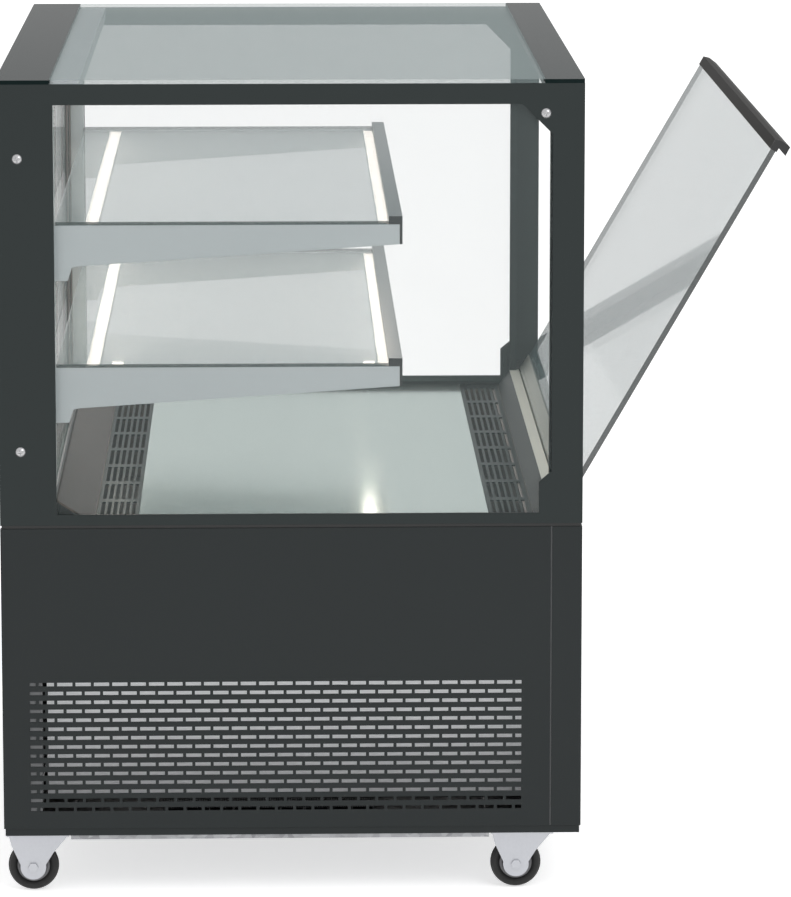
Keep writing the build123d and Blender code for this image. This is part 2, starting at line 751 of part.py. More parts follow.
# Lamp canopy: a channel under the top glass along the rear beam
with BuildPart() as lamp_canopy:
    with BuildSketch(Plane.YZ.offset(-deck_half)):
        side_patch(portal_front_r, portal_front_r + canopy_d, frame_top - canopy_h, frame_top)
        inside = (portal_front_r + 2, portal_front_r + canopy_d - 2)
        side_patch(*inside, frame_top - canopy_h, frame_top - 2, Mode.SUBTRACT)
    extrude(amount=2 * deck_half)
save(lamp_canopy, "lamp_canopy")

# Front rail: the painted strip along the front, whose lip stops the open glass
with BuildPart() as front_rail:
    slab(-frame_in, frame_in, depth - lip_t, depth, frame_bottom, frame_bottom + lip_h)
    top_edges = front_rail.edges().filter_by(Axis.X).group_by(Axis.Z)[-1]
    fillet(top_edges, radius=lip_t * 0.3)
save(front_rail, "front_rail")

# Front sill: a pale extrusion with a round groove for the hinge channel of the glass
sill_z = frame_bottom + sill_h
sill_front_r = depth - lip_t - 0.2
with BuildPart() as front_sill:
    with BuildSketch(Plane.YZ.offset(-door_half)):
        outline([
            (sill_back_r, frame_bottom), (sill_front_r, frame_bottom), (sill_front_r, sill_z - 1),
            (pivot_r + groove_r, sill_z - 1), (pivot_r, sill_z), (sill_back_r + sill_slope, sill_z),
            (sill_back_r + sill_slope - 1.5, sill_z - 3), (sill_back_r, frame_bottom + 2),
        ])
        with Locations((y_at(pivot_r), pivot_z)):
            Circle(groove_r, mode=Mode.SUBTRACT)
    extrude(amount=2 * door_half)
save(front_sill, "front_sill")

# Hinge blocks: moulded bearings at both ends of the sill that hold the glass's pins
block_r0 = pane_front_r + 2
with BuildPart() as hinge_blocks:
    for sign in SIDES.values():
        with BuildSketch(Plane.YZ.offset(sign * frame_in)):
            side_patch(block_r0, sill_front_r, frame_bottom, pivot_z + 12)
            with Locations((y_at(pivot_r), pivot_z)):
                Circle(hinge_pin_r + axle_fit, mode=Mode.SUBTRACT)
        extrude(amount=-sign * (side_gap - running_gap))
save(hinge_blocks, "hinge_blocks")

# Front portal: two slim posts and the beam behind the head of the tilting glass
front_portal_r = sill_back_r + sill_slope + 0.4
with BuildPart() as front_portal:
    for sign in SIDES.values():
        slab(
            sign * pane_in, sign * (pane_in - front_post_w), front_portal_r, front_portal_r + front_post_w,
            sill_z, frame_top,
        )
    slab(-pane_in, pane_in, front_portal_r, front_portal_r + front_post_w, frame_top - beam_h, frame_top)
save(front_portal, "front_portal")

# Top glass: one pane over the whole case
with BuildPart() as top_glass:
    with BuildSketch(Plane.XY.offset(frame_top)):
        with Locations((0, y_at(depth / 2))):
            RectangleRounded(width, depth, 4)
    extrude(amount=top_glass_t)
save(top_glass, "top_glass")

# Shelves: glass plates on cantilever brackets, each with a nosing and two lamp bars
bracket_out = pane_in - 2
lamp_x = bracket_out - bracket_t - bracket_flange - 1
rear_lamp_r = portal_front_r + rear_lamp_gap
front_lamp_r = shelf_front_r - front_lamp_setback
nose_front_r = shelf_front_r + nose_t
shelf_levels = {"lower": lower_shelf_z, "upper": upper_shelf_z}
for level, shelf_z in shelf_levels.items():
    with BuildPart() as shelf_glass:
        slab(
            -bracket_out, bracket_out, portal_front_r + 2, shelf_front_r - nose_lip - 0.2,
            shelf_z - shelf_glass_t, shelf_z,
        )
    save(shelf_glass, f"{level}_shelf_glass")

with BuildPart() as shelf_brackets:
    for shelf_z in shelf_levels.values():
        seat = shelf_z - shelf_glass_t
        for sign in SIDES.values():
            with BuildSketch(Plane.YZ.offset(sign * bracket_out)):
                outline([
                    (portal_front_r, seat), (shelf_front_r - 0.2, seat),
                    (shelf_front_r - 0.2, seat - bracket_tip_h),
                    (portal_front_r + bracket_root_d + 13, seat - bracket_h),
                    (portal_front_r + bracket_root_d + 6, seat - bracket_h - 2),
                    (portal_front_r + bracket_root_d, seat - bracket_root_h),
                    (portal_front_r, seat - bracket_root_h),
                ])
            extrude(amount=-sign * bracket_t)
            flange_x = bracket_out - bracket_t
            slab(
                sign * flange_x, sign * (flange_x - bracket_flange), portal_front_r + 2,
                shelf_front_r - 20, seat - 2, seat,
            )
save(shelf_brackets, "shelf_brackets")

with BuildPart() as shelf_nosings:
    for shelf_z in shelf_levels.values():
        with BuildSketch(Plane.YZ.offset(-bracket_out)):
            side_patch(shelf_front_r, nose_front_r, shelf_z + nose_rise - nose_h, shelf_z + nose_rise)
            seat = shelf_z - shelf_glass_t
            side_patch(shelf_front_r - nose_lip, shelf_front_r, seat, shelf_z + nose_rise)
        extrude(amount=2 * bracket_out)
save(shelf_nosings, "shelf_nosings")

lamp_base = 3.0
lamp_rise = lamp_h - 1
with BuildPart() as lamp_channels:
    for shelf_z in shelf_levels.values():
        seat = shelf_z - shelf_glass_t
        for lamp_r in (rear_lamp_r, front_lamp_r):
            with BuildSketch(Plane.YZ.offset(-lamp_x)):
                side_patch(lamp_r, lamp_r + lamp_w, seat - lamp_h, seat)
                side_patch(lamp_r + 2, lamp_r + lamp_w - 2, seat - lamp_h + lamp_base, seat, Mode.SUBTRACT)
            extrude(amount=2 * lamp_x)
save(lamp_channels, "lamp_channels")

with BuildPart() as lamp_diffusers:
    for shelf_z in shelf_levels.values():
        seat = shelf_z - shelf_glass_t
        for lamp_r in (rear_lamp_r, front_lamp_r):
            slab(
                -lamp_x + 2, lamp_x - 2, lamp_r + 2, lamp_r + lamp_w - 2,
                seat - lamp_h + lamp_base, seat - 1,
            )
    slab(
        -deck_half + 50, deck_half - 50, portal_front_r + 2, portal_front_r + canopy_d - 2,
        frame_top - canopy_h, frame_top - canopy_h + 6,
    )
save(lamp_diffusers, "lamp_diffusers")

# Tilting front glass, modelled where it rests against the lip
tilt_plane = Plane(
    origin=(0, y_at(pivot_r), pivot_z),
    x_dir=(0, -math.cos(tilt), -math.sin(tilt)),
    z_dir=(-1, 0, 0),
)
tilt_half = door_half - 2.0
glass_foot = 8.0
handle_foot = handle_top - handle_h
with BuildPart() as front_door_glass:
    with BuildSketch(tilt_plane):
        patch(-tilt_glass_t / 2, tilt_glass_t / 2, glass_foot, handle_top - 4)
    extrude(amount=tilt_half, both=True)
save(front_door_glass, "front_door_glass")

with BuildPart() as front_door_channel:
    with BuildSketch(tilt_plane):
        Circle(channel_r)
        patch(-tilt_glass_t / 2 - 2, tilt_glass_t / 2 + 2, 0, channel_h)
        patch(-tilt_glass_t / 2, tilt_glass_t / 2, glass_foot, channel_h, Mode.SUBTRACT)
    extrude(amount=tilt_half, both=True)
    with BuildSketch(tilt_plane):
        Circle(hinge_pin_r)
    extrude(amount=door_half + side_gap - 2, both=True)
save(front_door_channel, "front_door_channel")


def handle_section():
    """The grip's outline: a clamp on the glass with a sloping finger lip in front."""
    clamp = tilt_glass_t / 2 + 1.5
    Polygon(
        (-clamp, handle_foot), (-clamp, handle_top - 3), (clamp - 1, handle_top),
        (handle_reach - 0.5, handle_top - 2), (handle_reach, handle_foot + 1.5),
        (clamp, handle_foot + 6.5), (clamp, handle_foot), align=None,
    )


cap_t = 2.5
with BuildPart() as front_door_handle:
    with BuildSketch(tilt_plane):
        handle_section()
        patch(-tilt_glass_t / 2, tilt_glass_t / 2, handle_foot, handle_top - 4, Mode.SUBTRACT)
    extrude(amount=tilt_half, both=True)
save(front_door_handle, "front_door_handle")

with BuildPart() as front_door_caps:
    for sign in SIDES.values():
        with BuildSketch(tilt_plane.offset(sign * tilt_half)):
            handle_section()
        extrude(amount=sign * (door_half - tilt_half))
save(front_door_caps, "front_door_caps")
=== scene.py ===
"""A floor-standing pastry display case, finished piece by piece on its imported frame, in metres."""

import math

import bpy
import numpy as np
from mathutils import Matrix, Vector


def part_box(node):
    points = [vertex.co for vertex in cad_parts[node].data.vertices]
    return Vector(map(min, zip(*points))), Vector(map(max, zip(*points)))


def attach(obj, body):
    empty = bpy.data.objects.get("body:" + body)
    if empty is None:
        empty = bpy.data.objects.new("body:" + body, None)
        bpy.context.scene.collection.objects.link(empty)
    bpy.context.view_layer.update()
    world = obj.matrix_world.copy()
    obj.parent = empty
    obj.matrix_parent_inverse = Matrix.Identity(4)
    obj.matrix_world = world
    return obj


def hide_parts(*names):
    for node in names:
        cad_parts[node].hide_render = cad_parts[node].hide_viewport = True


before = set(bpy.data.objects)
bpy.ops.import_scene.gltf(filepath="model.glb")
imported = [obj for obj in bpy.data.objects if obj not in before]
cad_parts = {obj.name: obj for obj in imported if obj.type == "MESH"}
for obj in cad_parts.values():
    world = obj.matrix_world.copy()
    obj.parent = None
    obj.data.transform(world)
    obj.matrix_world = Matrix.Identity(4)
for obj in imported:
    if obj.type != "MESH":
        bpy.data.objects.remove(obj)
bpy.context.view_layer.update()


# Machine base. Folded steel sheets hang on a welded ring of box rails with four corner posts.
# The sheets are powder coated charcoal: a satin skin with a fine orange peel, and edges that
# the press brake leaves slightly round.
charcoal = (0.0095, 0.0132, 0.0138)
charcoal_light = (0.0122, 0.0168, 0.0175)


def new_finish(name, colour, metallic, roughness):
    """A new material with its tree and shader, set to a plain colour, metal share and roughness."""
    finish = bpy.data.materials.new(name)
    finish.use_nodes = True
    shader = finish.node_tree.nodes["Principled BSDF"]
    shader.inputs["Base Color"].default_value = (*colour, 1.0)
    shader.inputs["Metallic"].default_value = metallic
    shader.inputs["Roughness"].default_value = roughness
    return finish, finish.node_tree, shader


def place_noise(tree, size, stretch=(1.0, 1.0, 1.0), detail=3.0):
    """Noise on object coordinates: size is the grain in metres, and stretch divides it on each axis."""
    coordinates = tree.nodes.new("ShaderNodeTexCoord")
    mapping = tree.nodes.new("ShaderNodeMapping")
    noise = tree.nodes.new("ShaderNodeTexNoise")
    mapping.inputs["Scale"].default_value = stretch
    noise.inputs["Scale"].default_value = 1.0 / size
    noise.inputs["Detail"].default_value = detail
    tree.links.new(coordinates.outputs["Object"], mapping.inputs["Vector"])
    tree.links.new(mapping.outputs["Vector"], noise.inputs["Vector"])
    return noise.outputs["Fac"]


def blend_colours(tree, factor, first, second):
    """The colour that goes from first to second as the factor goes from 0 to 1."""
    mix = tree.nodes.new("ShaderNodeMix")
    mix.data_type = "RGBA"
    tree.links.new(factor, mix.inputs[0])
    for socket, colour in ((mix.inputs[6], first), (mix.inputs[7], second)):
        if isinstance(colour, tuple):
            socket.default_value = (*colour, 1.0)
        else:
            tree.links.new(colour, socket)
    return mix.outputs[2]


def raise_grain(tree, shader, height, depth, edge=0.0):
    """Bumps the surface by a height value, over edges rounded by the given radius."""
    bump = tree.nodes.new("ShaderNodeBump")
    bump.inputs["Distance"].default_value = depth
    bump.inputs["Strength"].default_value = 0.6
    tree.links.new(height, bump.inputs["Height"])
    if edge:
        rounded = tree.nodes.new("ShaderNodeBevel")
        rounded.samples = 4
        rounded.inputs["Radius"].default_value = edge
        tree.links.new(rounded.outputs["Normal"], bump.inputs["Normal"])
    tree.links.new(bump.outputs["Normal"], shader.inputs["Normal"])


def vary_roughness(tree, shader, noise, low, high):
    """Roughness that follows a noise value between two limits."""
    spread = tree.nodes.new("ShaderNodeMapRange")
    spread.inputs["To Min"].default_value = low
    spread.inputs["To Max"].default_value = high
    tree.links.new(noise, spread.inputs["Value"])
    tree.links.new(spread.outputs["Result"], shader.inputs["Roughness"])


def powder_coat(name, colour, light, edge):
    """Powder coat: soft cloudy tone over the sheet, and an orange peel about a millimetre across."""
    finish, tree, shader = new_finish(name, colour, 0.0, 0.42)
    shader.inputs["Specular IOR Level"].default_value = 0.3
    cloud = place_noise(tree, 0.35, detail=2.0)
    tree.links.new(blend_colours(tree, cloud, colour, light), shader.inputs["Base Color"])
    vary_roughness(tree, shader, cloud, 0.36, 0.48)
    raise_grain(tree, shader, place_noise(tree, 0.0012), 0.000008, edge)
    return finish


def dress(finish, *nodes):
    """Puts a finish on the object slots of nodes of the frame."""
    for node in nodes:
        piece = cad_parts[node]
        if not piece.material_slots:
            piece.data.materials.append(finish)
        for place in piece.material_slots:
            place.link = "OBJECT"
            place.material = finish


charcoal_coat = powder_coat("charcoal_coat", charcoal, charcoal_light, 0.0012)
dress(charcoal_coat, "left_side_panel", "front_panel", "rear_panel")


def point_axis(tree, axis):
    """A point's coordinate on one axis of its piece, in metres."""
    coordinates = tree.nodes.new("ShaderNodeTexCoord")
    parts = tree.nodes.new("ShaderNodeSeparateXYZ")
    tree.links.new(coordinates.outputs["Object"], parts.inputs["Vector"])
    return parts.outputs[axis]


def test_value(tree, value, operation, limit):
    """One where a value is LESS_THAN or GREATER_THAN a limit, and nought elsewhere."""
    compare = tree.nodes.new("ShaderNodeMath")
    compare.operation = operation
    compare.inputs[1].default_value = limit
    tree.links.new(value, compare.inputs[0])
    return compare.outputs["Value"]


def lay_colour(tree, shader, factor, colour):
    """Lays a colour over the one that a shader already has, as far as the factor says."""
    below = shader.inputs["Base Color"].links[0].from_socket
    tree.links.new(blend_colours(tree, factor, below, colour), shader.inputs["Base Color"])


def posts_with_painted_light(name, line):
    """The charcoal coat on the rails, and plain grey on the posts above them: painted light, which
    stands in for light seen through the slots.
    """
    finish = powder_coat(name, charcoal, charcoal_light, 0.0)
    tree = finish.node_tree
    shader = tree.nodes["Principled BSDF"]
    # The grey on the posts above the rails is painted light; the posts are charcoal like the rails.
    above = test_value(tree, point_axis(tree, "Z"), "GREATER_THAN", line)
    lay_colour(tree, shader, above, (0.16, 0.165, 0.17))
    return finish


rail_top = 0.1035
dress(posts_with_painted_light("posts_with_painted_light", rail_top), "base_frame")


# Right side panel. The same folded and punched sheet as the left one: fifteen rows of slots,
# each second row shifted by half a pitch, with short slots closing the shifted rows.
slot_length, slot_height = 0.0224, 0.0056
slot_pitch, slot_row_pitch = 0.0269, 0.01345
slot_columns, slot_rows = 27, 15
first_slot_distance, top_slot_height = 0.040, 0.3205
short_slot_length = 0.009
sheet_thickness, fold_depth = 0.002, 0.012


def add_piece(name, vertices, faces, finish, body, smooth=False):
    """A mesh piece from points and faces, on a body and with a finish."""
    faces = faces.tolist() if isinstance(faces, np.ndarray) else faces
    mesh = bpy.data.meshes.new(name)
    mesh.from_pydata(np.asarray(vertices).tolist(), [], faces)
    if smooth:
        mesh.shade_smooth()
    mesh.materials.append(finish)
    piece = bpy.data.objects.new(name, mesh)
    bpy.context.scene.collection.objects.link(piece)
    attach(piece, body)
    return piece


def punched_sheet(columns, rows, solid, near, far):
    """A sheet in the YZ plane between X near and X far, from a grid of cells.

    Each solid cell gives a quad on both faces, and each border between a solid cell and an
    empty one gives a quad through the thickness.
    """
    across, up = len(columns), len(rows)
    grid_y, grid_z = np.meshgrid(columns, rows)
    layer = np.stack([np.zeros(grid_y.size), grid_y.ravel(), grid_z.ravel()], axis=1)
    points = np.concatenate([layer + [near, 0, 0], layer + [far, 0, 0]])
    index = np.arange(across * up).reshape(up, across)
    behind = across * up
    a, b, c, d = index[:-1, :-1], index[:-1, 1:], index[1:, 1:], index[1:, :-1]
    faces = [np.stack([a, b, c, d], axis=-1)[solid], np.stack([a, d, c, b], axis=-1)[solid] + behind]
    padded = np.pad(solid, 1)
    beside = {
        "left": (padded[1:-1, :-2], index[:-1, :-1], index[1:, :-1]),
        "right": (padded[1:-1, 2:], index[1:, 1:], index[:-1, 1:]),
        "under": (padded[:-2, 1:-1], index[:-1, 1:], index[:-1, :-1]),
        "over": (padded[2:, 1:-1], index[1:, :-1], index[1:, 1:]),
    }
    for neighbour, start, stop in beside.values():
        edge = solid & ~neighbour
        first, last = start[edge], stop[edge]
        faces.append(np.stack([first, last, last + behind, first + behind], axis=1))
    faces = np.concatenate(faces)
    used, faces = np.unique(faces, return_inverse=True)
    return points[used], faces.reshape(-1, 4)


panel_low, panel_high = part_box("right_side_panel")
rear_plane = panel_high[1]
span = (slot_columns - 1) * slot_pitch + slot_length
full_starts = first_slot_distance + np.arange(slot_columns) * slot_pitch
shifted_starts = full_starts[:-1] + slot_pitch / 2
short_starts = np.array([first_slot_distance, first_slot_distance + span - short_slot_length])
full_row = np.stack([full_starts, full_starts + slot_length], axis=1)
shifted_row = np.concatenate([
    np.stack([shifted_starts, shifted_starts + slot_length], axis=1),
    np.stack([short_starts, short_starts + short_slot_length], axis=1),
])
row_middles = top_slot_height - np.arange(slot_rows) * slot_row_pitch
row_edges = np.stack([row_middles - slot_height / 2, row_middles + slot_height / 2], axis=1)
columns = np.unique(np.round(np.concatenate([
    [panel_low[1], panel_high[1]], rear_plane - full_row.ravel(), rear_plane - shifted_row.ravel(),
]), 6))
rows = np.unique(np.round(np.concatenate([[panel_low[2], panel_high[2]], row_edges.ravel()]), 6))
column_middles = rear_plane - (columns[:-1] + columns[1:]) / 2
cell_heights = (rows[:-1] + rows[1:]) / 2


def covered(middles, spans):
    """Which middles lie inside any of the spans."""
    return ((middles[:, None] > spans[:, 0]) & (middles[:, None] < spans[:, 1])).any(axis=1)


in_shifted = covered(cell_heights, row_edges[0::2])
in_full = covered(cell_heights, row_edges[1::2])
solid = ~(
    np.outer(in_shifted, covered(column_middles, shifted_row))
    | np.outer(in_full, covered(column_middles, full_row))
)
outside = panel_high[0]
points, faces = punched_sheet(columns, rows, solid, outside, outside - sheet_thickness)
right_panel = add_piece(
    "right_punched_panel", points, faces, charcoal_coat, "cabinet"
)
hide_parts("right_side_panel")


def carry_profile(profile, start, stop):
    """A closed (Y, Z) outline, anticlockwise seen from +X, carried along X from start to stop.

    Each side of the outline gives one quad between the two ends, and each end gives one cap.
    """
    outline = np.asarray(profile)
    count = len(outline)
    ends = [np.column_stack([np.full(count, x), outline]) for x in (start, stop)]
    index = np.arange(count)
    following = np.roll(index, -1)
    sides = np.stack([index, following, following + count, index + count], axis=1)
    faces = sides.tolist() + [index[::-1].tolist(), (index + count).tolist()]
    return np.concatenate(ends), faces


def add_strip(name, profile, start, stop, finish, body):
    """A straight strip of one section along X."""
    vertices, faces = carry_profile(profile, start, stop)
    return add_piece(name, vertices, faces, finish, body)


def rectangle(low_y, high_y, low_z, high_z):
    """The (Y, Z) outline of a rectangle."""
    return [(low_y, low_z), (high_y, low_z), (high_y, high_z), (low_y, high_z)]


add_strip(
    "right_panel_fold",
    rectangle(rear_plane - sheet_thickness, rear_plane, panel_low[2], panel_high[2]),
    outside - fold_depth, outside - sheet_thickness, charcoal_coat, "cabinet",
)


# Intake filter. A pale non-woven pad that hangs under the tub behind the left slots, with a black
# binding along its foot. Painted light, an emission that rises with height, makes its upper part
# brighter than its foot and stands in for light coming through the slots.
binding_top = 0.137


def filter_pad(name, low_z, high_z):
    """Pale felt: fibres as stretched noise, and painted light that a ramp on height adds towards the
    top.

    Below the binding's top it is black and unlit.
    """
    finish, tree, shader = new_finish(name, (0.8, 0.81, 0.82), 0.0, 0.95)
    fibre = place_noise(tree, 0.004, (1.0, 0.35, 1.0), detail=4.0)
    felt = blend_colours(tree, fibre, (0.7, 0.71, 0.72), (0.86, 0.87, 0.88))
    height = point_axis(tree, "Z")
    binding = test_value(tree, height, "LESS_THAN", binding_top)
    tone = blend_colours(tree, binding, felt, (0.008, 0.008, 0.008))
    tree.links.new(tone, shader.inputs["Base Color"])
    rise = tree.nodes.new("ShaderNodeMapRange")
    rise.inputs["From Min"].default_value = low_z
    rise.inputs["From Max"].default_value = high_z
    tree.links.new(height, rise.inputs["Value"])
    # Painted light: an emission that rises with height stands in for light coming through the slots.
    painted_glow_ramp = blend_colours(tree, rise.outputs["Result"], (0.1, 0.1, 0.105), (0.48, 0.49, 0.5))
    lit = blend_colours(tree, binding, painted_glow_ramp, (0.0, 0.0, 0.0))
    tree.links.new(lit, shader.inputs["Emission Color"])
    shader.inputs["Emission Strength"].default_value = 0.8
    raise_grain(tree, shader, fibre, 0.0004)
    return finish


filter_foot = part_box("intake_filter")[0][2]
dress(filter_pad("filter_felt", filter_foot, top_slot_height), "intake_filter")


# Galvanised sheet. The fan shroud, the fan plate and the floor tray are galvanised steel, with
# the broad crystals of the zinc. The tray has a black coat inside.
def galvanised_sheet(name):
    """Zinc spangle: cells about a centimetre across, each a slightly different grey."""
    finish, tree, shader = new_finish(name, (0.5, 0.51, 0.53), 0.85, 0.4)
    coordinates = tree.nodes.new("ShaderNodeTexCoord")
    spangle = tree.nodes.new("ShaderNodeTexVoronoi")
    spangle.inputs["Scale"].default_value = 90.0
    tree.links.new(coordinates.outputs["Object"], spangle.inputs["Vector"])
    shade = tree.nodes.new("ShaderNodeSeparateColor")
    tree.links.new(spangle.outputs["Color"], shade.inputs["Color"])
    tone = blend_colours(tree, shade.outputs["Red"], (0.46, 0.47, 0.49), (0.6, 0.61, 0.63))
    tree.links.new(tone, shader.inputs["Base Color"])
    vary_roughness(tree, shader, shade.outputs["Green"], 0.32, 0.5)
    return finish


def normal_axis(tree, axis, kind="Normal"):
    """How far a face looks along one axis, from minus one to one."""
    shape = tree.nodes.new("ShaderNodeNewGeometry")
    parts = tree.nodes.new("ShaderNodeSeparateXYZ")
    tree.links.new(shape.outputs[kind], parts.inputs["Vector"])
    return parts.outputs[axis]


def coated_tray(name):
    """Galvanised sheet, duller where it is rougher, with a black coat on the faces that point up."""
    finish = galvanised_sheet(name)
    tree = finish.node_tree
    shader = tree.nodes["Principled BSDF"]
    lay_colour(tree, shader, shader.inputs["Roughness"].links[0].from_socket, (0.02, 0.02, 0.02))
    upward = test_value(tree, normal_axis(tree, "Z"), "GREATER_THAN", 0.5)
    lay_colour(tree, shader, upward, (0.006, 0.006, 0.006))
    return finish


tray_sheet = coated_tray("tray_sheet")
dress(tray_sheet, "base_tray")
dress(galvanised_sheet("galvanised_sheet"), "condenser_fan_shroud", "evaporator_fan_plate")


# Closing plates. Two plain plates of the tray's sheet, black inside, shut the floor of the machine
# space between the tray and the cross rails, over the castors.
tray_low, tray_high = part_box("base_tray")
rail_low, rail_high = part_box("base_frame")
rail_width, plate_gap, plate_thickness = 0.040, 0.0005, 0.0015
plate_x = rail_high[0] - rail_width - plate_gap
plate_floor = rail_low[2] + plate_gap
for name, low_y, high_y in (
    ("rear_closing_plate", tray_high[1], rail_high[1] - rail_width - plate_gap),
    ("front_closing_plate", rail_low[1] + rail_width + plate_gap, tray_low[1]),
):
    plate = rectangle(low_y, high_y, plate_floor, plate_floor + plate_thickness)
    add_strip(name, plate, -plate_x, plate_x, tray_sheet, "cabinet")


# Refrigeration set. A finned condenser with its fan, a hermetic compressor in black enamel,
# a moulded condensate tray, and the evaporator in the tub.
def finned_block(name):
    """Aluminium fins: painted shade in the gaps between bright fin edges, from bands along Y."""
    finish, tree, shader = new_finish(name, (0.55, 0.56, 0.57), 0.9, 0.35)
    coordinates = tree.nodes.new("ShaderNodeTexCoord")
    painted_fin_shade = tree.nodes.new("ShaderNodeTexWave")
    painted_fin_shade.wave_type = "BANDS"
    painted_fin_shade.bands_direction = "Y"
    painted_fin_shade.inputs["Scale"].default_value = 120.0
    tree.links.new(coordinates.outputs["Object"], painted_fin_shade.inputs["Vector"])
    # The dark bands are painted shade between the fins; the bright bands are the fin edges.
    tone = blend_colours(tree, painted_fin_shade.outputs["Fac"], (0.12, 0.12, 0.12), (0.66, 0.67, 0.68))
    tree.links.new(tone, shader.inputs["Base Color"])
    raise_grain(tree, shader, painted_fin_shade.outputs["Fac"], 0.0008)
    return finish


def moulding(name, colour, roughness, grain=0.0009, depth=0.00005, edge=0.0006):
    """Moulded plastic or enamel: one colour, a fine spark-eroded grain and soft edges."""
    finish, tree, shader = new_finish(name, colour, 0.0, roughness)
    texture = place_noise(tree, grain)
    lighter = tuple(min(1.0, value * 1.12 + 0.002) for value in colour)
    tree.links.new(blend_colours(tree, texture, colour, lighter), shader.inputs["Base Color"])
    raise_grain(tree, shader, texture, depth, edge)
    return finish


fins = finned_block("aluminium_fins_and_painted_shade")
black_enamel = moulding("black_enamel", (0.014, 0.014, 0.015), 0.22, grain=0.003)
fan_moulding = moulding("fan_moulding", (0.03, 0.03, 0.032), 0.5)
white_moulding = moulding("white_moulding", (0.72, 0.72, 0.7), 0.45)
dress(fins, "condenser_coil", "evaporator_coil")
dress(black_enamel, "compressor")
dress(fan_moulding, "condenser_fan", "left_evaporator_fan", "right_evaporator_fan")
dress(white_moulding, "condensate_tray")


# Cooling tub. Foam between two skins: dull brown coated sheet inside, and a flange whose edge is
# painted dark, as painted shade for the shadow line between the base and the glazed case.
painted_shade_band = 0.006


def without_sign(tree, value):
    """A value without its sign."""
    size = tree.nodes.new("ShaderNodeMath")
    size.operation = "ABSOLUTE"
    tree.links.new(value, size.inputs[0])
    return size.outputs["Value"]


def tub_coat_and_painted_shade(name, rim):
    """Brown up to a distance from the middle on X, and dark beyond it as painted shade for the shadow
    gap.
    """
    finish, tree, shader = new_finish(name, (0.12, 0.1, 0.09), 0.0, 0.45)
    from_middle = without_sign(tree, point_axis(tree, "X"))
    beyond = test_value(tree, from_middle, "GREATER_THAN", rim)
    cloud = place_noise(tree, 0.2)
    dull = blend_colours(tree, cloud, (0.1, 0.084, 0.072), (0.14, 0.12, 0.104))
    # The dark past the rim is painted shade: the flange edge sits in the recessed shadow gap.
    tone = blend_colours(tree, beyond, dull, (0.012, 0.013, 0.013))
    tree.links.new(tone, shader.inputs["Base Color"])
    raise_grain(tree, shader, place_noise(tree, 0.0015), 0.00005)
    return finish


tub_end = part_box("cooling_tub")[1][0]
dress(tub_coat_and_painted_shade("tub_coat_and_painted_shade", tub_end - painted_shade_band), "cooling_tub")


# Castors. Zinc-plated pressed forks on plates under the corners, and black rubber tyres on
# grey moulded hubs.
def plated_steel(name, colour, roughness, edge):
    """Bright plate: faint brushed streaks along X in its colour, its roughness and its skin."""
    finish, tree, shader = new_finish(name, colour, 0.75, roughness)
    streak = place_noise(tree, 0.004, (0.05, 1.0, 1.0), detail=2.0)
    lighter = tuple(min(1.0, value * 1.1) for value in colour)
    tree.links.new(blend_colours(tree, streak, colour, lighter), shader.inputs["Base Color"])
    vary_roughness(tree, shader, streak, roughness - 0.06, roughness + 0.08)
    raise_grain(tree, shader, streak, 0.00003, edge)
    return finish


bright_zinc = plated_steel("bright_zinc", (0.5, 0.51, 0.54), 0.34, 0.0008)
tyre_rubber = moulding(
    "tyre_rubber", (0.012, 0.012, 0.012), 0.7, grain=0.0016, depth=0.0002, edge=0.0
)
hub_moulding = moulding("hub_moulding", (0.2, 0.2, 0.21), 0.5)
tyre_hollow, tread_crown, tyre_trim, bead_inset = 0.0135, 0.0022, 0.002, 0.003
hub_press, hub_rim_inset, hub_rim_wall = 0.0005, 0.004, 0.004
web_half, web_drop = 0.004, 0.007
boss_foot, boss_tip, boss_proud = 0.011, 0.009, 0.0015
bore_radius = 0.0052


def turn_profile(profile, centre, steps=64):
    """A closed (X, radius) outline turned about the X line through the centre.

    Point i at step k stands at the outline's radius times the cosine and sine of k's angle.
    """
    outline = np.asarray(profile)
    count = len(outline)
    angle = np.linspace(0, 2 * np.pi, steps, endpoint=False)[:, None]
    x = np.broadcast_to(outline[:, 0], (steps, count)) + centre[0]
    y = outline[:, 1] * np.cos(angle) + centre[1]
    z = outline[:, 1] * np.sin(angle) + centre[2]
    points = np.stack([x, y, z], axis=-1).reshape(-1, 3)
    index = np.arange(steps * count).reshape(steps, count)
    after = np.roll(index, -1, axis=0)
    beside = np.roll(index, -1, axis=1)
    corner = np.roll(after, -1, axis=1)
    faces = np.stack([index, beside, corner, after], axis=-1).reshape(-1, 4)
    return points, faces


def tyre_outline(half_width, radius):
    """The tyre's section: a crowned tread between round shoulders, hollow towards the hub.

    The tread falls by the crown times the square of its share of the way out to the shoulder.
    """
    shoulder = 0.005
    sweep = np.linspace(0, np.pi / 2, 6)
    right = np.column_stack([
        half_width - shoulder + shoulder * np.cos(sweep[::-1]),
        radius - tread_crown - shoulder + shoulder * np.sin(sweep[::-1]),
    ])
    crown_x = np.linspace(-half_width + shoulder, half_width - shoulder, 9)
    crown = np.column_stack([crown_x, radius - tread_crown * (crown_x / (half_width - shoulder)) ** 2])
    left = right[::-1] * [-1, 1]
    bead_x = half_width - bead_inset
    inner = [(bead_x, radius - tyre_hollow), (-bead_x, radius - tyre_hollow)]
    return np.concatenate([inner, left, crown[1:-1], right])


def hub_outline(half_width, radius):
    """The hub's section: a rim under the tyre, a dished web and a bore boss that stands proud."""
    rim_x, rim_inner = half_width - hub_rim_inset, radius - hub_rim_wall
    boss_x, web_outer = half_width + boss_proud, radius - web_drop
    return [
        (rim_x, radius), (-rim_x, radius), (-rim_x, rim_inner),
        (-web_half, web_outer), (-web_half, boss_foot), (-boss_x, boss_tip),
        (-boss_x, bore_radius), (boss_x, bore_radius), (boss_x, boss_tip),
        (web_half, boss_foot), (web_half, web_outer), (rim_x, rim_inner),
    ]


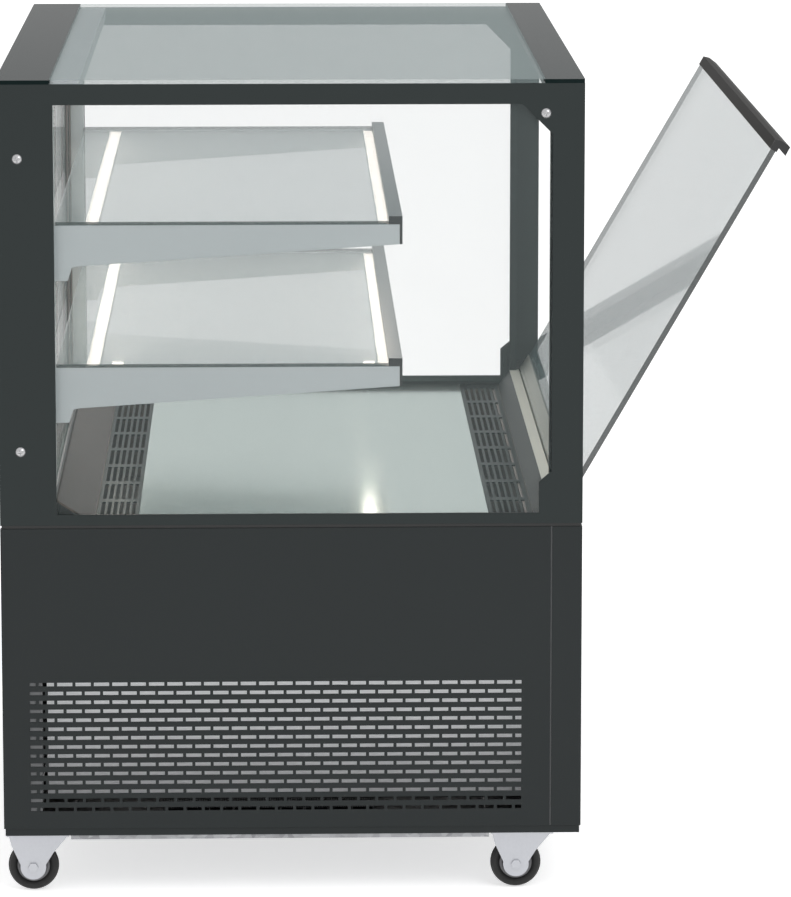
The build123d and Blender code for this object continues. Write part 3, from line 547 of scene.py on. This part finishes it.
for end in ("rear", "front"):
    for side in ("left", "right"):
        castor = f"{end}_{side}_castor"
        low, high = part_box(f"{castor}_wheel")
        centre = (low + high) / 2
        radius = (high[2] - low[2]) / 2
        half_width = (high[0] - low[0]) / 2 - tyre_trim
        points, faces = turn_profile(tyre_outline(half_width, radius), centre)
        tyre = add_piece(f"{castor}_tyre", points, faces, tyre_rubber, f"{castor}_wheel", True)
        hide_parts(f"{castor}_wheel")
        hub = hub_outline(half_width, radius - tyre_hollow + hub_press)
        points, faces = turn_profile(hub, centre, steps=48)
        add_piece(f"{castor}_hub", points, faces, hub_moulding, f"{castor}_wheel")
        dress(bright_zinc, f"{castor}_fork")
dress(bright_zinc, "castor_plates")


# Deck. Polished stainless sheets laid over the tub: a plain middle tray between two punched
# grilles, and the sloped sill under the rear doors.
def tint_grazing(shader, colour, least):
    """Colours a metal's reflection along its face, from least at black up to one at white."""
    tint = tuple(least + (1 - least) * value for value in colour)
    shader.inputs["Specular Tint"].default_value = (*tint, 1.0)


def polished_sheet(name, colour, roughness):
    """Polished stainless: long faint lines along X, and a slow cloud in its roughness."""
    finish, tree, shader = new_finish(name, colour, 0.9, roughness)
    tint_grazing(shader, colour, 0.4)
    lines = place_noise(tree, 0.003, (0.02, 1.0, 1.0))
    lighter = tuple(min(1.0, value * 1.08) for value in colour)
    tree.links.new(blend_colours(tree, lines, colour, lighter), shader.inputs["Base Color"])
    vary_roughness(tree, shader, place_noise(tree, 0.25), roughness - 0.04, roughness + 0.05)
    raise_grain(tree, shader, lines, 0.000001)
    return finish


deck_steel = polished_sheet("deck_steel", (0.6, 0.67, 0.65), 0.13)
sill_steel = polished_sheet("sill_steel", (0.06, 0.042, 0.03), 0.2)
grille_steel = polished_sheet("grille_steel", (0.06, 0.072, 0.07), 0.3)
dress(deck_steel, "deck_tray")
dress(sill_steel, "rear_sill")
dress(grille_steel, "rear_air_grille", "front_air_grille")


# Side frames. Flat laser-cut steel with a charcoal coat a little lighter than the base's, screwed
# to the portals, with clear toughened panes bonded behind them.
def grazing_cover(tree, low, high):
    """Cover that rises from low to high as the view turns from square to the face to along it."""
    weight = tree.nodes.new("ShaderNodeLayerWeight")
    weight.inputs["Blend"].default_value = 0.5
    rise = tree.nodes.new("ShaderNodeMapRange")
    rise.inputs["From Min"].default_value = 0.45
    rise.inputs["From Max"].default_value = 0.95
    rise.inputs["To Min"].default_value = low
    rise.inputs["To Max"].default_value = high
    tree.links.new(weight.outputs["Facing"], rise.inputs["Value"])
    return rise.outputs["Result"]


def clear_pane(name, tint, cover, grazing, edge_tint, thin_axis, edge_cover=0.88):
    """Clear glass: a faint tint across the pane, and deep colour where a face isn't on its thin axis."""
    finish, tree, shader = new_finish(name, tint, 0.0, 0.03)
    shader.inputs["IOR"].default_value = 1.5
    facing = without_sign(tree, normal_axis(tree, thin_axis))
    rim = test_value(tree, facing, "LESS_THAN", 0.5)
    tone = blend_colours(tree, rim, tint, edge_tint)
    tree.links.new(tone, shader.inputs["Base Color"])
    see_through = tree.nodes.new("ShaderNodeMapRange")
    see_through.inputs["To Max"].default_value = edge_cover
    tree.links.new(grazing_cover(tree, cover, grazing), see_through.inputs["To Min"])
    tree.links.new(rim, see_through.inputs["Value"])
    tree.links.new(see_through.outputs["Result"], shader.inputs["Alpha"])
    return finish


side_pane = clear_pane("side_pane", (0.25, 0.3, 0.3), 0.1, 0.26, (0.05, 0.12, 0.1), "X")
frame_coat = powder_coat("frame_coat", (0.0125, 0.0185, 0.0185), (0.0155, 0.0225, 0.0225), 0.0012)
dress(frame_coat, "left_side_frame", "right_side_frame")
dress(side_pane, "side_glasses")


# Frame screws. Plated cross-head screws with domed heads, three to a side, which hold the side
# frames to the portals.
screw_radius, screw_rise, cross_width, cross_depth = 0.0072, 0.0034, 0.0016, 0.0022
dome_power, cross_reach = 1.6, 0.62
screw_plate = plated_steel("screw_plate", (0.45, 0.45, 0.46), 0.16, 0.0)


def domed_head(steps=48, rings=12):
    """A domed screw head with a cross pressed into it, and its rim closed underneath.

    The dome's height is the rise times the cosine of a quarter turn of the radius share to the
    dome power. The cross is deepest in the middle, and its depth falls to nothing at its reach as
    the square root of what is left.
    """
    radius = np.linspace(0, 1, rings + 1)[1:, None] * screw_radius
    angle = np.linspace(0, 2 * np.pi, steps, endpoint=False)[None, :]
    y, z = radius * np.cos(angle), radius * np.sin(angle)
    dome = screw_rise * np.cos(np.pi / 2 * (radius / screw_radius) ** dome_power) * np.ones_like(angle)
    arm = np.minimum(abs(y), abs(z)) < cross_width / 2
    recess = cross_depth * np.clip(1 - radius / (screw_radius * cross_reach), 0, 1) ** 0.5
    height = np.maximum(dome - arm * recess, 0)
    points = np.stack([height, y, z], axis=-1).reshape(-1, 3)
    points = np.concatenate([[[screw_rise - cross_depth, 0, 0]], points])
    index = np.arange(rings * steps).reshape(rings, steps) + 1
    after = np.roll(index, -1, axis=1)
    quads = np.stack([index[:-1], index[1:], after[1:], after[:-1]], axis=-1).reshape(-1, 4)
    centre = np.stack([np.zeros(steps, int), index[0], after[0]], axis=1)
    base = index[-1][::-1]
    return points, centre.tolist() + quads.tolist() + [base.tolist()]


frame_low, frame_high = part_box("right_side_frame")
screw_places = ((0.031, 1.096), (0.031, 0.667), (0.794, 1.1605))
dome, dome_faces = domed_head()
heads, head_faces = [], []
for sign in (-1, 1):
    for distance, height in screw_places:
        place = np.array([sign * frame_high[0], frame_high[1] - distance, height])
        first = sum(len(part) for part in heads)
        heads.append(dome * [sign, 1, 1] + place)
        head_faces += [[first + corner for corner in face[::sign]] for face in dome_faces]
add_piece("frame_screws", np.concatenate(heads), head_faces, screw_plate, "cabinet")


# Rear portal and canopy. Two square posts and a beam in pale coated steel, with a light steel
# channel under the top glass that holds the canopy lamp.
def pale_coat(name, colour, edge=0.0008):
    """Pale coated steel: a soft cloud and a fine satin skin."""
    lighter = tuple(min(1.0, value * 1.12) for value in colour)
    return powder_coat(name, colour, lighter, edge)


pale_steel = pale_coat("pale_steel", (0.53, 0.575, 0.585))
canopy_steel = pale_coat("canopy_steel", (0.56, 0.6, 0.62))
dress(pale_steel, "rear_portal")
dress(canopy_steel, "lamp_canopy")


# Door tracks and sliding doors. Satin anodised aluminium rails, and panes with an upright
# profile on each end. A slim half-round grip on the staff side opens each door.
def anodised(name, colour, roughness=0.34, edge=0.0006):
    """Anodised aluminium: fine drawn lines along X in both its colour and its skin."""
    finish, tree, shader = new_finish(name, colour, 0.85, roughness)
    tint_grazing(shader, colour, 0.3)
    lines = place_noise(tree, 0.0012, (0.01, 1.0, 1.0), detail=2.0)
    lighter = tuple(min(1.0, value * 1.12) for value in colour)
    tree.links.new(blend_colours(tree, lines, colour, lighter), shader.inputs["Base Color"])
    raise_grain(tree, shader, lines, 0.00002, edge)
    return finish


track_metal = anodised("track_metal", (0.36, 0.37, 0.38))
profile_metal = anodised("profile_metal", (0.16, 0.14, 0.13))
door_pane = clear_pane("door_pane", (0.2, 0.2, 0.19), 0.06, 0.3, (0.05, 0.12, 0.1), "Y")
dress(track_metal, "door_tracks")
dress(profile_metal, "left_door_profiles", "right_door_profiles")
dress(door_pane, "left_door_glass", "right_door_glass")
black_moulding = moulding("black_moulding", (0.012, 0.012, 0.013), 0.48)
grip_length, grip_width, grip_rise = 0.18, 0.012, 0.005
grip_height, grip_inset, grip_end = 0.84, 0.011, 0.0004


def half_round_grip(middle_x, face_y, middle_z, steps=24, sides=12):
    """A half-round bar along Z on a face, whose rise falls away near both ends.

    At length share t the rise and width are scaled by the sixth-power arch (1 - t^6)^(1/2), which
    the grip end keeps above nought, and the section at side angle v is half an ellipse.
    """
    share = np.linspace(-1, 1, steps)[:, None]
    angle = np.linspace(0, np.pi, sides)[None, :]
    arch = np.sqrt(np.clip(1 - share**6, grip_end, 1))
    x = middle_x + grip_width / 2 * arch * np.cos(angle)
    y = face_y + grip_rise * arch * np.sin(angle)
    z = middle_z + grip_length / 2 * share * np.ones_like(angle)
    points = np.stack([x, y, z], axis=-1).reshape(-1, 3)
    index = np.arange(steps * sides).reshape(steps, sides)
    a, b, c, d = index[:-1, :-1], index[:-1, 1:], index[1:, 1:], index[1:, :-1]
    skin = np.stack([a, b, c, d], axis=-1).reshape(-1, 4)
    back = np.stack([index[:-1, -1], index[:-1, 0], index[1:, 0], index[1:, -1]], axis=-1)
    ends = [index[0, ::-1].tolist(), index[-1].tolist()]
    return points, skin.tolist() + back.tolist() + ends


for side, sign in (("left", -1), ("right", 1)):
    low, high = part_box(f"{side}_door_profiles")
    outer_x = low[0] if sign < 0 else high[0]
    points, faces = half_round_grip(outer_x - sign * grip_inset, high[1], grip_height)
    add_piece(f"{side}_door_grip", points, faces, black_moulding, f"{side}_door", True)


# Front sill, rail and portal. The sill is a satin aluminium extrusion, slightly warm in colour,
# with a round groove for the hinge channel of the front glass. The rail and portal are coated.
def sill_extrusion(name, back_line):
    """Warm anodised metal in front of a line on Y, and dark behind it, inside the case."""
    finish = anodised(name, (0.58, 0.59, 0.53), 0.45)
    tree = finish.node_tree
    shader = tree.nodes["Principled BSDF"]
    shader.inputs["Metallic"].default_value = 0.2
    shader.inputs["IOR"].default_value = 1.25
    inside = test_value(tree, point_axis(tree, "Y"), "GREATER_THAN", back_line)
    lay_colour(tree, shader, inside, (0.022, 0.026, 0.027))
    return finish


sill_top_depth = 0.0492
dress(sill_extrusion("sill_metal", frame_low[1] + sill_top_depth), "front_sill")
dress(frame_coat, "front_rail", "front_portal")


# Top glass. One toughened pane over the whole case, with dark borders printed on its
# underside along the front and the back, which hide the beams.
rear_border, front_border = 0.078, 0.057


def higher_value(tree, first, second):
    """The higher of two values."""
    higher = tree.nodes.new("ShaderNodeMath")
    higher.operation = "MAXIMUM"
    tree.links.new(first, higher.inputs[0])
    tree.links.new(second, higher.inputs[1])
    return higher.outputs["Value"]


def bordered_pane(name, back_line, front_line):
    """Clear glass between two lines on Y, and dark print beyond them."""
    finish, tree, shader = new_finish(name, (0.7, 0.78, 0.77), 0.0, 0.1)
    shader.inputs["IOR"].default_value = 1.025
    along = point_axis(tree, "Y")
    behind = test_value(tree, along, "GREATER_THAN", back_line)
    before = test_value(tree, along, "LESS_THAN", front_line)
    printed = higher_value(tree, behind, before)
    tone = blend_colours(tree, printed, (0.2, 0.26, 0.26), (0.01, 0.018, 0.018))
    tree.links.new(tone, shader.inputs["Base Color"])
    cover = tree.nodes.new("ShaderNodeMapRange")
    cover.inputs["To Max"].default_value = 0.97
    tree.links.new(grazing_cover(tree, 0.05, 0.64), cover.inputs["To Min"])
    tree.links.new(printed, cover.inputs["Value"])
    tree.links.new(cover.outputs["Result"], shader.inputs["Alpha"])
    return finish


top_low, top_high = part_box("top_glass")
dress(
    bordered_pane("bordered_pane", top_high[1] - rear_border, top_low[1] + front_border), "top_glass"
)


# Shelves. Clear glass with polished dark green edges on coated brackets, a grey price rail with
# black ends, and aluminium lamp bars with opal covers.
shelf_pane = clear_pane("shelf_pane", (0.4, 0.47, 0.475), 0.08, 0.6, (0.015, 0.04, 0.035), "Z")
dress(shelf_pane, "lower_shelf_glass", "upper_shelf_glass")
dress(pale_steel, "shelf_brackets")


def price_rail(name):
    """Grey rail with black ends: the black shows where a face points along X."""
    grey = (0.12, 0.15, 0.155)
    finish, tree, shader = new_finish(name, grey, 0.0, 0.3)
    facing = without_sign(tree, normal_axis(tree, "X"))
    tone = blend_colours(tree, facing, grey, (0.012, 0.013, 0.013))
    tree.links.new(tone, shader.inputs["Base Color"])
    raise_grain(tree, shader, place_noise(tree, 0.001), 0.00003, 0.0005)
    return finish


dress(price_rail("price_rail"), "shelf_nosings")
lamp_glow, lamp_strength, under_strength = (1.0, 0.87, 0.77, 1.0), 2.6, 9.0
opal = moulding("opal_cover", (0.82, 0.85, 0.85), 0.35, grain=0.0006, depth=0.00001, edge=0.0)
opal_shader = opal.node_tree.nodes["Principled BSDF"]
opal_shader.inputs["Emission Color"].default_value = lamp_glow
opal_shader.inputs["Emission Strength"].default_value = lamp_strength
dress(opal, "lamp_diffusers")


def lit_channel(name):
    """Anodised channel with a lit opal strip where its face points down."""
    finish = anodised(name, (0.6, 0.62, 0.63))
    tree = finish.node_tree
    shader = tree.nodes["Principled BSDF"]
    under = test_value(tree, normal_axis(tree, "Z", "True Normal"), "LESS_THAN", -0.5)
    strength = tree.nodes.new("ShaderNodeMath")
    strength.operation = "MULTIPLY"
    strength.inputs[1].default_value = under_strength
    tree.links.new(under, strength.inputs[0])
    shader.inputs["Emission Color"].default_value = lamp_glow
    tree.links.new(strength.outputs["Value"], shader.inputs["Emission Strength"])
    return finish


dress(lit_channel("lamp_metal"), "lamp_channels")


# Front glass. A toughened pane in an aluminium channel that turns between moulded hinge blocks,
# with a dark bronze grip along its top that a moulded cap closes at each end.
front_pane = clear_pane("front_pane", (0.17, 0.25, 0.26), 0.06, 0.6, (0.012, 0.018, 0.018), "Y")
dress(front_pane, "front_door_glass")
dress(anodised("channel_metal", (0.42, 0.43, 0.4), 0.4), "front_door_channel")
dress(anodised("bronze_metal", (0.026, 0.024, 0.022), 0.4, 0.0012), "front_door_handle")
dress(black_moulding, "hinge_blocks", "front_door_caps")


# Rear panel fittings. Louvre hoods pressed over the air slots, small domed screws along the
# panel's top and foot, and the moulded control panel, lamp switch and mains inlet.
hood_length, hood_height, hood_rise, hood_wall = 0.24, 0.011, 0.0032, 0.001
hood_columns = (-0.14, 0.14)
hood_rows, hood_pitch, hood_middle, hood_drop = 10, 0.018, 0.26, 0.003
panel_screw_margin, panel_screw_scale, panel_screw_columns = 0.012, 0.8, 5


def louvre_hood(middle_x, face_y, low_z, steps=28, sides=8):
    """A hood over a slot: it leaves the panel at its top and stands off at its lower lip.

    At share u along X and v up the hood, the rise is the full rise times (1 - u^8) times the
    cosine of a quarter turn of v.
    """
    u = np.linspace(-1, 1, steps)[None, :]
    v = np.linspace(0, 1, sides)[:, None]
    rise = hood_rise * (1 - u**8) * np.cos(np.pi / 2 * v)
    x = middle_x + hood_length / 2 * u * np.ones_like(v)
    z = low_z + hood_height * v * np.ones_like(u)
    points = np.stack([x, face_y + rise, z], axis=-1).reshape(-1, 3)
    index = np.arange(steps * sides).reshape(sides, steps)
    a, b, c, d = index[:-1, :-1], index[:-1, 1:], index[1:, 1:], index[1:, :-1]
    return points, np.stack([a, d, c, b], axis=-1).reshape(-1, 4)


rear_low, rear_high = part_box("rear_panel")
hood_points, hood_faces = [], []
for row in range(hood_rows):
    for middle_x in hood_columns:
        low_z = hood_middle + (row - (hood_rows - 1) / 2) * hood_pitch - hood_drop
        points, faces = louvre_hood(middle_x, rear_high[1], low_z)
        hood_faces.append(faces + sum(len(part) for part in hood_points))
        hood_points.append(points)
hoods = add_piece(
    "louvre_hoods", np.concatenate(hood_points), np.concatenate(hood_faces), charcoal_coat,
    "cabinet", True,
)
wall = hoods.modifiers.new("sheet", "SOLIDIFY")
wall.thickness = hood_wall
wall.offset = -1.0
across = np.linspace(
    rear_low[0] + panel_screw_margin, rear_high[0] - panel_screw_margin, panel_screw_columns
)
heads, head_faces = [], []
for height in (rear_low[2] + panel_screw_margin, rear_high[2] - panel_screw_margin):
    for x in across:
        first = sum(len(part) for part in heads)
        heads.append(dome[:, [2, 0, 1]] * panel_screw_scale + [x, rear_high[1], height])
        head_faces += [[first + corner for corner in face] for face in dome_faces]
add_piece("panel_screws", np.concatenate(heads), head_faces, screw_plate, "cabinet")
dress(black_moulding, "control_panel", "mains_inlet")
dress(moulding("switch_moulding", (0.02, 0.02, 0.022), 0.2), "lamp_switch")


# Studio. A white floor that runs far back, even light from a white surround, and one broad
# soft lamp high on the front left.
floor_shine = 0.55
surround_light, surround_seen = 0.82, 1.0


def white_floor(name):
    """White paint that also shines by the floor shine to the camera, mirrors and glass."""
    finish = bpy.data.materials.new(name)
    finish.use_nodes = True
    tree = finish.node_tree
    tree.nodes.clear()
    paint = tree.nodes.new("ShaderNodeBsdfDiffuse")
    paint.inputs["Color"].default_value = (0.86, 0.86, 0.86, 1.0)
    shine = tree.nodes.new("ShaderNodeEmission")
    path = tree.nodes.new("ShaderNodeLightPath")
    total = tree.nodes.new("ShaderNodeAddShader")
    output = tree.nodes.new("ShaderNodeOutputMaterial")
    direct = higher_value(tree, path.outputs["Is Camera Ray"], path.outputs["Is Glossy Ray"])
    seen = higher_value(tree, direct, path.outputs["Is Transmission Ray"])
    level = tree.nodes.new("ShaderNodeMath")
    level.operation = "MULTIPLY"
    level.inputs[1].default_value = floor_shine
    tree.links.new(seen, level.inputs[0])
    tree.links.new(level.outputs["Value"], shine.inputs["Strength"])
    tree.links.new(paint.outputs["BSDF"], total.inputs[0])
    tree.links.new(shine.outputs["Emission"], total.inputs[1])
    tree.links.new(total.outputs["Shader"], output.inputs["Surface"])
    return finish


floor_half = 30.0
floor_mesh = bpy.data.meshes.new("floor")
floor_mesh.from_pydata(
    [(-floor_half, -floor_half, 0), (floor_half, -floor_half, 0), (floor_half, floor_half, 0),
     (-floor_half, floor_half, 0)], [], [(0, 1, 2, 3)],
)
floor_mesh.materials.append(white_floor("white_floor"))
floor = bpy.data.objects.new("floor", floor_mesh)
bpy.context.scene.collection.objects.link(floor)

surround = bpy.data.worlds.new("surround")
bpy.context.scene.world = surround
surround.use_nodes = True
sky_tree = surround.node_tree
sky = sky_tree.nodes["Background"]
sky.inputs["Color"].default_value = (1.0, 1.0, 1.0, 1.0)
path = sky_tree.nodes.new("ShaderNodeLightPath")
seen = higher_value(sky_tree, path.outputs["Is Camera Ray"], path.outputs["Is Glossy Ray"])
level = sky_tree.nodes.new("ShaderNodeMapRange")
level.inputs["To Min"].default_value = surround_light
level.inputs["To Max"].default_value = surround_seen
sky_tree.links.new(seen, level.inputs["Value"])
sky_tree.links.new(level.outputs["Result"], sky.inputs["Strength"])

lamp = bpy.data.lights.new("key_lamp", "AREA")
lamp.shape = "RECTANGLE"
lamp.size, lamp.size_y = 3.5, 2.5
lamp.energy = 60.0
key = bpy.data.objects.new("key_lamp", lamp)
bpy.context.scene.collection.objects.link(key)
key.location = (-3.0, -2.2, 3.6)
key.rotation_mode = "QUATERNION"
to_case = Vector((0.0, 0.0, 0.6)) - key.location
key.rotation_quaternion = to_case.to_track_quat("-Z", "Y")


# Camera. It stands off the left end of the case, a little above it, and looks along +X, down and
# slightly towards the front.
camera_place = (-7.544, 0.177, 1.958)
camera_yaw, camera_pitch = -1.479, -9.232
camera_lens, camera_shift = 194.6, -0.12
camera_data = bpy.data.cameras.new("camera")
camera_data.lens = camera_lens
camera_data.sensor_width = 36.0
camera_data.shift_y = camera_shift
camera_data.clip_end = 200.0
camera = bpy.data.objects.new("camera", camera_data)
bpy.context.scene.collection.objects.link(camera)
camera.location = camera_place
camera.rotation_euler = (math.radians(90.0 + camera_pitch), 0.0, math.radians(-90.0 + camera_yaw))
bpy.context.scene.camera = camera
bpy.context.scene.view_settings.view_transform = "Standard"
bpy.context.scene.cycles.transparent_max_bounces = 32
